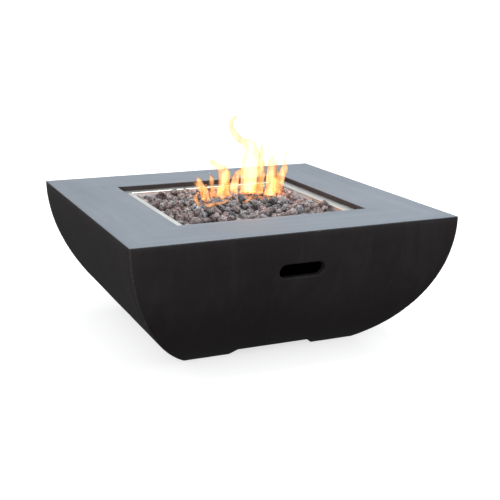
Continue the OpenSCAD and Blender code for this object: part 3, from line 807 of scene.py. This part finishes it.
zinc = metal("zinc_plate", (0.46, 0.47, 0.49), (0.68, 0.68, 0.66), 0.30, 420.0)
brass = metal(
    "turned_brass", (0.60, 0.40, 0.15), (0.82, 0.60, 0.27), 0.24, 900.0,
    drawn=(1.0, 1.0, 0.05), tarnish=(0.22, 0.13, 0.06),
)
cast_alloy = metal("cast_alloy", (0.33, 0.33, 0.34), (0.50, 0.50, 0.50), 0.48, 600.0)
pipe_steel = metal("pipe_steel", (0.52, 0.53, 0.53), (0.70, 0.70, 0.68), 0.26, 300.0, (0.1, 1.0, 1.0))
dress(zinc, "inlet_nipple", "pan_locknut", "knob_set_screw", "bracket_nuts", "panel_anchors", "valve_bracket")
dress(brass, "gas_orifice", "gas_elbow", "elbow_flare_nut", "valve_flare_nut", "inlet_fitting", "valve_stem")
dress(brass, "thermocouple_nut", "thermocouple_lead")
dress(cast_alloy, "air_mixer", "valve_body")
dress(pipe_steel, "gas_pipe", "pilot_bracket", "bracket_screws", "valve_screws")
gasket = Finish("red_gasket")
fibre = gasket.noise(340.0, 4.0, 0.7)
dress(gasket.coat(
    Base_Color=gasket.mix(fibre, (0.16, 0.030, 0.022), (0.30, 0.075, 0.055)),
    Roughness=0.85,
    Normal=gasket.bump(fibre, 0.0003, 0.6),
), "pan_washer")

# ---- The valve's springs, and the pilot probes beside the burner ----
# Springs of polished music wire push the knob and the button out. A ceramic sleeve holds
# the spark electrode, and a heat-stained steel tip ends the thermocouple.

wire = metal("spring_wire", (0.34, 0.34, 0.36), (0.60, 0.60, 0.62), 0.22, 800.0)
dress(wire, "spring_cup", "electrode_rod")

# Each coil is the design's own wire, merged
outward = panel_place.to_3x3() @ Vector((1, 0, 0))
sprung = (("stem_spring", "knob_press", 0.004), ("igniter_spring", "igniter_press", 0.0035))
for name, joint, travel in sprung:
    coil = bpy.data.objects.new(name, nodes[name].data.copy())
    stage.collection.objects.link(coil)
    close()
    select_only([coil])
    bpy.ops.object.mode_set(mode="EDIT")
    bpy.ops.mesh.select_all(action="SELECT")
    bpy.ops.mesh.remove_doubles(threshold=0.000001)
    bpy.ops.object.mode_set(mode="OBJECT")
    reach = [corner.co.dot(outward) for corner in coil.data.vertices]
    fit(coil, "coiled_" + name, wire, "spring_steel", "fire_bowl", name)
    1.0 - travel / (max(reach) - min(reach))
    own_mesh(coil)
tip = metal("stained_tip", (0.30, 0.22, 0.16), (0.52, 0.50, 0.50), 0.30, 700.0, tarnish=(0.05, 0.06, 0.12))
dress(tip, "thermocouple_probe")
ceramic = Finish("glazed_ceramic")
crackle = ceramic.noise(160.0, 4.0, 0.6)
dress(ceramic.coat(
    Base_Color=ceramic.mix(crackle, (0.70, 0.67, 0.60), (0.84, 0.82, 0.77)),
    Roughness=0.22 + crackle * 0.2,
    Normal=ceramic.bump(crackle, 0.0002, 0.3),
), "electrode_ceramic")
sleeve = Finish("lead_sleeve")
braid = sleeve.noise(900.0, 3.0, 0.6)
dress(sleeve.coat(
    Base_Color=sleeve.mix(braid, (0.020, 0.018, 0.018), (0.060, 0.055, 0.052)),
    Roughness=0.55 + braid * 0.2,
    Normal=sleeve.bump(braid, 0.0003, 0.6),
), "ignition_lead")
cell = Finish("battery_case")
scuff = cell.noise(130.0, 4.0, 0.6)
dress(cell.coat(
    Base_Color=cell.mix(scuff, (0.03, 0.05, 0.07), (0.08, 0.11, 0.13)),
    Roughness=0.35 + scuff * 0.25,
    Normal=cell.bump(scuff, 0.0002, 0.3),
), "igniter_battery")

# ---- The control panel ----
# A stainless plate with rounded corners, brushed along its length, let into the wall below
# the rim. Four pan-head screws hold it to plastic anchors in the concrete.

stem_hole = 0.0055
housing_hole = 0.0110
valve_side = -0.030
igniter_side = 0.038
screw_side = 0.069
screw_rise = 0.042
panel_turn = Matrix.Rotation(math.pi / 2, 4, "Y")
plate = block((-panel_size.z / 2, -panel_size.y / 2, -panel_size.x), (panel_size.z / 2, panel_size.y / 2, 0))


def upright_corner(edge):
    """True for the edges that run through the plate's thickness."""
    return abs(edge.verts[0].co.z - edge.verts[1].co.z) > 0.001


pick(plate, "EDGE", upright_corner)
bpy.ops.mesh.bevel(offset=0.005, segments=8, affect="EDGES")
panel_holes = [(0.0, valve_side, stem_hole), (0.0, igniter_side, housing_hole)]
panel_holes += [(x, y, 0.0022) for x in (-screw_rise, screw_rise) for y in (-screw_side, screw_side)]
for x, y, radius in panel_holes:
    cut_away(plate, drum(radius, -0.01, 0.01, x, y, 48))
settle(plate, "BEVEL", width=0.0004, segments=2, limit_method="ANGLE", angle_limit=math.radians(60))
face_place = panel_place @ Matrix.Translation((panel_face, 0, 0)) @ panel_turn
place_in(plate, face_place)
brushed_plate = Finish("brushed_plate")
hairline = brushed_plate.noise(1.0, 6.0, 0.7, brushed_plate.scaled(1300.0, 9.0, 1300.0))
touch = brushed_plate.noise(30.0, 4.0, 0.6)
rain = brushed_plate.noise(1.0, 4.0, 0.6, brushed_plate.scaled(60.0, 120.0, 12.0)).above(0.52, 0.72)
plate_colour = brushed_plate.mix(hairline, (0.50, 0.50, 0.49), (0.70, 0.70, 0.68))
fit(plate, "brushed_control_panel", brushed_plate.coat(
    Base_Color=brushed_plate.mix(rain * 0.25, plate_colour, (0.36, 0.34, 0.31)),
    Metallic=1.0,
    Roughness=0.24 + hairline * 0.16 + touch * 0.08,
    Normal=brushed_plate.bump(hairline, 0.0002, 0.45),
), "sheet_steel", "fire_bowl", "control_panel", smooth=20)

# One pan-head screw: a domed head, a cross recess and a shank; then four of them
screw = drum(0.0038, 0.0, 0.0024, sides=40)
pick(screw, "FACE", lambda face: face.normal.z > 0.9)
bpy.ops.mesh.bevel(offset=0.0012, segments=5, affect="EDGES")
pick(screw, "FACE", lambda face: face.normal.z < -0.9)
bpy.ops.mesh.inset(thickness=0.0018, depth=0)
bpy.ops.mesh.extrude_region_move(TRANSFORM_OT_translate={"value": (0, 0, -0.0118)})
bpy.ops.mesh.bevel(offset=0.0008, segments=2, affect="EDGES")
cut_away(screw, block((-0.0021, -0.00045, 0.0014), (0.0021, 0.00045, 0.004)))
cut_away(screw, block((-0.00045, -0.0021, 0.0014), (0.00045, 0.0021, 0.004)))
heads = []
for number, (x, y) in enumerate((x, y) for x in (-screw_rise, screw_rise) for y in (-screw_side, screw_side)):
    head = screw.copy()
    head.data = screw.data.copy()
    stage.collection.objects.link(head)
    heads.append(head)
    place_in(head, face_place @ Matrix.Translation((x, y, 0)) @ Matrix.Rotation(0.5 + number * 0.9, 4, "Z"))
bpy.data.objects.remove(screw)
select_only(heads)
bpy.ops.object.join()
fit(heads[0], "pan_head_screws", zinc, "plated_steel", "fire_bowl", "panel_screws")

# ---- The igniter ----
# A moulded black housing is clamped through the panel by a nut behind it. A dished push
# button in its bezel fires the spark.

moulded = Finish("moulded_black")
sheen = moulded.noise(45.0, 4.0, 0.6)
stipple = moulded.noise(1100.0, 2.0, 0.6)
moulded.coat(
    Base_Color=moulded.mix(sheen, (0.009, 0.009, 0.010), (0.030, 0.029, 0.029)),
    Roughness=0.34 + sheen * 0.16,
    Normal=moulded.bump(stipple, 0.00025, 0.5),
)
bezel_radius = 0.014
bezel_depth = 0.002
barrel_radius = 0.0109
bore_radius = 0.0076
bore_depth = 0.0635
barrel_depth = 0.068
housing = drum(bezel_radius, 0.0, bezel_depth, y=igniter_side, sides=64)
pick(housing, "FACE", lambda face: face.normal.z > 0.9)
bpy.ops.mesh.bevel(offset=0.0008, segments=4, affect="EDGES")
pick(housing, "FACE", lambda face: face.normal.z > 0.999)
bpy.ops.mesh.inset(thickness=bezel_radius - 0.0008 - bore_radius - 0.0006, depth=0)
bpy.ops.mesh.inset(thickness=0.0006, depth=-0.0005)
bpy.ops.mesh.extrude_region_move(TRANSFORM_OT_translate={"value": (0, 0, -bore_depth)})
pick(housing, "FACE", lambda face: face.normal.z < -0.9 and face.calc_center_median().z > -0.001)
bpy.ops.mesh.inset(thickness=bezel_radius - barrel_radius, depth=0)
bpy.ops.mesh.extrude_region_move(TRANSFORM_OT_translate={"value": (0, 0, -barrel_depth)})
bpy.ops.mesh.inset(thickness=barrel_radius - 0.0025, depth=0)
bpy.ops.mesh.extrude_region_move(TRANSFORM_OT_translate={"value": (0, 0, -0.006)})
fit(
    place_in(housing, face_place), "igniter_barrel", moulded.material,
    "igniter_plastic", "fire_bowl", "igniter_housing",
)
dress(moulded.material, "igniter_nut")

button_radius = 0.0075
button_front = bezel_depth + 0.005
button = drum(button_radius, -0.013, button_front, y=igniter_side, sides=56)
pick(button, "FACE", lambda face: face.normal.z > 0.9)
bpy.ops.mesh.bevel(offset=0.0009, segments=5, affect="EDGES")
pick(button, "FACE", lambda face: face.normal.z > 0.999)
for step in (0.0009, 0.0012, 0.0014):
    bpy.ops.mesh.inset(thickness=step, depth=-0.00022)
fit(
    place_in(button, face_place), "dished_button", moulded.material,
    "igniter_plastic", "igniter_push", "igniter_button",
)

# ---- The control knob ----
# A moulded knob with a round skirt and a raised bar to grip, and a white pointer line in
# the end of the bar. A set screw holds it on the flat of the stem.

knob_radius = 0.022
skirt_depth = 0.006
grip_half = 0.006
grip_radius = 0.019
knob_depth = 0.024
knob_back = 0.005
knob_place = face_place @ Matrix.Translation((0, valve_side, knob_back))
knob = drum(knob_radius, 0.0, skirt_depth, sides=72)
pick(knob, "FACE", lambda face: face.normal.z > 0.9)
bpy.ops.mesh.bevel(offset=0.0016, segments=5, affect="EDGES")
grip = drum(grip_radius, 0.002, knob_depth, sides=72)
bpy.ops.object.mode_set(mode="OBJECT")
cut_away(grip, block((-0.03, -grip_half, -0.01), (0.03, grip_half, 0.05)), "INTERSECT")
bpy.context.view_layer.objects.active = grip
bpy.ops.object.mode_set(mode="EDIT")
pick(grip, "FACE", lambda face: face.normal.z > 0.9)
bpy.ops.transform.resize(value=(0.97, 0.86, 1), center_override=(0, 0, knob_depth))
bpy.ops.mesh.bevel(offset=0.0013, segments=4, affect="EDGES")
bpy.ops.object.mode_set(mode="OBJECT")
cut_away(knob, grip, "UNION")
cut_away(knob, block((-0.0185, -0.001, knob_depth - 0.001), (-0.004, 0.001, knob_depth + 0.01)))
cut_away(knob, drum(0.0032, -0.01, knob_depth - 0.006, sides=32))
settle(knob, "BEVEL", width=0.0005, segments=2, limit_method="ANGLE", angle_limit=math.radians(50))

# The pointer is paint in the groove, so it follows the knob's own coordinates
knob_look = Finish("knob_plastic")
knob_gloss = knob_look.noise(60.0, 4.0, 0.6)
knob_grain = knob_look.noise(1300.0, 2.0, 0.6)
home = knob_place.inverted()


def knob_axis(number):
    """How far a point lies along one of the knob's own axes."""
    sockets = {0: knob_look.place, 1: home.to_3x3()[number]}
    distance = knob_look.node("VectorMath", {"operation": "DOT_PRODUCT"}, sockets, "Value")
    return distance + home.translation[number]


across = knob_axis(1)
along = knob_axis(0)
depth = knob_axis(2)
in_groove = (1.0 - abs(across).above(0.00095, 0.00115)) * (1.0 - (along + 0.011).above(0.0068, 0.0072))
above_floor = depth.above(knob_depth - 0.0016, knob_depth - 0.0012)
near_mouth = depth.above(knob_depth - 0.0006, knob_depth - 0.0003)
painted = in_groove * above_floor * (1.0 - near_mouth)
knob_colour = knob_look.mix(knob_gloss, (0.010, 0.010, 0.011), (0.028, 0.027, 0.027))
knob_look.coat(
    Base_Color=knob_look.mix(painted, knob_colour, (0.78, 0.78, 0.76)),
    Roughness=0.36 + knob_gloss * 0.16,
    Normal=knob_look.bump(knob_grain, 0.0003, 0.5),
)
fit(
    place_in(knob, knob_place), "bar_grip_knob", knob_look.material,
    "knob_plastic", "knob_turn", "control_knob",
)

# ---- The fire ----
# Loose tongues of burning gas over the rock. They aren't part of the object: each is a
# closed wisp of thin glowing vapour, and a warm lamp among them lights the stones.

tongues = (
    (
        (0.056, 0.041, 0.362, 0.024), (0.056, 0.041, 0.388, 0.024), (0.060, 0.040, 0.425, 0.027),
        (0.067, 0.036, 0.468, 0.024), (0.062, 0.037, 0.489, 0.018), (0.050, 0.043, 0.500, 0.012),
        (0.035, 0.050, 0.511, 0.010), (0.023, 0.056, 0.524, 0.008), (0.012, 0.060, 0.540, 0.008),
        (0.011, 0.061, 0.553, 0.006), (0.016, 0.058, 0.566, 0.004), (0.025, 0.055, 0.577, 0.0005),
    ),
    (
        (0.082, 0.028, 0.360, 0.008), (0.086, 0.028, 0.393, 0.008), (0.087, 0.027, 0.435, 0.007),
        (0.089, 0.027, 0.473, 0.006), (0.090, 0.026, 0.492, 0.005), (0.092, 0.026, 0.506, 0.0005),
    ),
    (
        (-0.023, 0.032, 0.350, 0.016), (-0.023, 0.032, 0.381, 0.016), (-0.022, 0.032, 0.410, 0.016),
        (-0.025, 0.033, 0.432, 0.013), (-0.037, 0.037, 0.444, 0.010), (-0.049, 0.043, 0.453, 0.006),
        (-0.058, 0.047, 0.461, 0.0005),
    ),
    (
        (-0.012, 0.028, 0.360, 0.008), (-0.014, 0.028, 0.396, 0.008), (-0.012, 0.027, 0.420, 0.007),
        (-0.017, 0.029, 0.440, 0.004), (-0.019, 0.030, 0.453, 0.0005),
    ),
    (
        (-0.144, -0.095, 0.366, 0.003), (-0.149, -0.093, 0.382, 0.005), (-0.152, -0.091, 0.391, 0.004),
        (-0.146, -0.094, 0.399, 0.001),
    ),
    (
        (-0.130, -0.091, 0.374, 0.002), (-0.123, -0.094, 0.364, 0.004), (-0.111, -0.100, 0.366, 0.004),
        (-0.093, -0.107, 0.371, 0.004), (-0.076, -0.115, 0.373, 0.004), (-0.069, -0.118, 0.384, 0.001),
    ),
    (
        (-0.026, -0.115, 0.370, 0.002), (-0.013, -0.120, 0.377, 0.003), (0.001, -0.127, 0.385, 0.003),
        (0.017, -0.133, 0.385, 0.003), (0.025, -0.137, 0.376, 0.001),
    ),
    (
        (0.053, -0.002, 0.366, 0.002), (0.056, -0.003, 0.385, 0.005), (0.066, -0.007, 0.391, 0.005),
        (0.079, -0.013, 0.388, 0.002),
    ),
    (
        (-0.065, -0.017, 0.366, 0.003), (-0.055, -0.021, 0.384, 0.005), (-0.045, -0.025, 0.393, 0.005),
        (-0.038, -0.028, 0.407, 0.001),
    ),
    (
        (-0.100, -0.015, 0.366, 0.003), (-0.099, -0.015, 0.383, 0.005), (-0.095, -0.017, 0.395, 0.004),
        (-0.092, -0.018, 0.405, 0.001),
    ),
    (
        (-0.058, 0.026, 0.360, 0.010), (-0.060, 0.026, 0.394, 0.008), (-0.063, 0.027, 0.414, 0.005),
        (-0.067, 0.029, 0.427, 0.0005),
    ),
    (
        (-0.080, 0.014, 0.352, 0.008), (-0.085, 0.015, 0.384, 0.008), (-0.094, 0.020, 0.404, 0.009),
        (-0.104, 0.023, 0.415, 0.006), (-0.099, 0.021, 0.425, 0.0005),
    ),
    (
        (-0.090, 0.018, 0.360, 0.005), (-0.094, 0.018, 0.388, 0.006), (-0.107, 0.024, 0.402, 0.005),
        (-0.119, 0.030, 0.410, 0.0005),
    ),
    (
        (0.018, 0.056, 0.362, 0.013), (0.023, 0.056, 0.397, 0.013), (0.030, 0.052, 0.418, 0.008),
        (0.049, 0.045, 0.436, 0.0005),
    ),
    (
        (0.120, 0.034, 0.350, 0.018), (0.123, 0.034, 0.380, 0.018), (0.125, 0.033, 0.412, 0.015),
        (0.125, 0.033, 0.438, 0.010), (0.124, 0.033, 0.454, 0.007), (0.130, 0.030, 0.464, 0.003),
        (0.136, 0.029, 0.468, 0.0005),
    ),
    (
        (0.134, 0.028, 0.360, 0.009), (0.137, 0.028, 0.400, 0.009), (0.135, 0.028, 0.430, 0.006),
        (0.142, 0.026, 0.456, 0.0005),
    ),
    (
        (0.148, 0.042, 0.352, 0.012), (0.153, 0.042, 0.381, 0.011), (0.160, 0.039, 0.408, 0.009),
        (0.167, 0.036, 0.432, 0.006), (0.167, 0.036, 0.448, 0.004), (0.171, 0.035, 0.467, 0.0005),
    ),
    (
        (0.096, 0.044, 0.358, 0.009), (0.099, 0.044, 0.389, 0.009), (0.102, 0.043, 0.416, 0.008),
        (0.106, 0.041, 0.434, 0.004), (0.101, 0.043, 0.449, 0.0005),
    ),
)
flicker = bpy.data.textures.new("flicker", "CLOUDS")
flicker.noise_scale = 0.030
flicker.noise_depth = 1
flicker_reach = 0.013
broad_girth = 0.012

fire = Finish("burning_gas")
fire.tree.nodes.remove(fire.shader)
streaks = fire.noise(1.0, 4.0, 0.6, fire.scaled(70.0, 70.0, 20.0)).above(0.34, 0.66)
high = fire.axis("Z").above(0.40, 0.54)
gas_colour = fire.mix(high, (1.0, 0.56, 0.31), (1.0, 0.36, 0.37))
glow = fire.node("Emission", {}, {"Color": gas_colour, "Strength": streaks * 104.0 + 11.0})
stain = fire.node("VolumeAbsorption", {}, {"Color": (1.0, 0.86, 0.74), "Density": streaks * 12.0 + 8.0})
vapour = fire.node("AddShader", {}, {0: glow, 1: stain})
edge_tint = fire.node("BsdfTransparent", {}, {"Color": (1.0, 0.79, 0.61)})
fire_end = fire.tree.nodes["Material Output"]
fire.tree.links.new(vapour.socket, fire_end.inputs["Volume"])
fire.tree.links.new(edge_tint.socket, fire_end.inputs["Surface"])
for number, points in enumerate(tongues):
    curve = bpy.data.curves.new("tongue", "CURVE")
    curve.dimensions = "3D"
    curve.bevel_depth = 1.0
    curve.bevel_resolution = 5
    curve.use_fill_caps = True
    spine = curve.splines.new("NURBS")
    spine.points.add(len(points) - 1)
    spine.use_endpoint_u = True
    spine.order_u = 3
    spine.resolution_u = 10
    for point, (x, y, z, girth) in zip(spine.points, points):
        point.co = (x, y, z, 1.0)
        point.radius = girth
    tongue = bpy.data.objects.new("flame_%02d" % number, curve)
    stage.collection.objects.link(tongue)
    select_only([tongue])
    bpy.ops.object.convert(target="MESH")
    broad = 0.4 + 0.6 * min(1.0, max(girth for x, y, z, girth in points) / broad_girth)
    settle(
        tongue, "DISPLACE",
        texture=flicker, texture_coords="LOCAL", strength=flicker_reach * broad, mid_level=0.5,
    )
    bpy.ops.object.shade_smooth()
    tongue.data.materials.append(fire.material)
    tongue.visible_shadow = False
soft_lamp("fire_glow", (0.07, 0.03, 0.43), (0.07, 0.03, 0.3), 0.12, 0.25, (1.0, 0.50, 0.20))
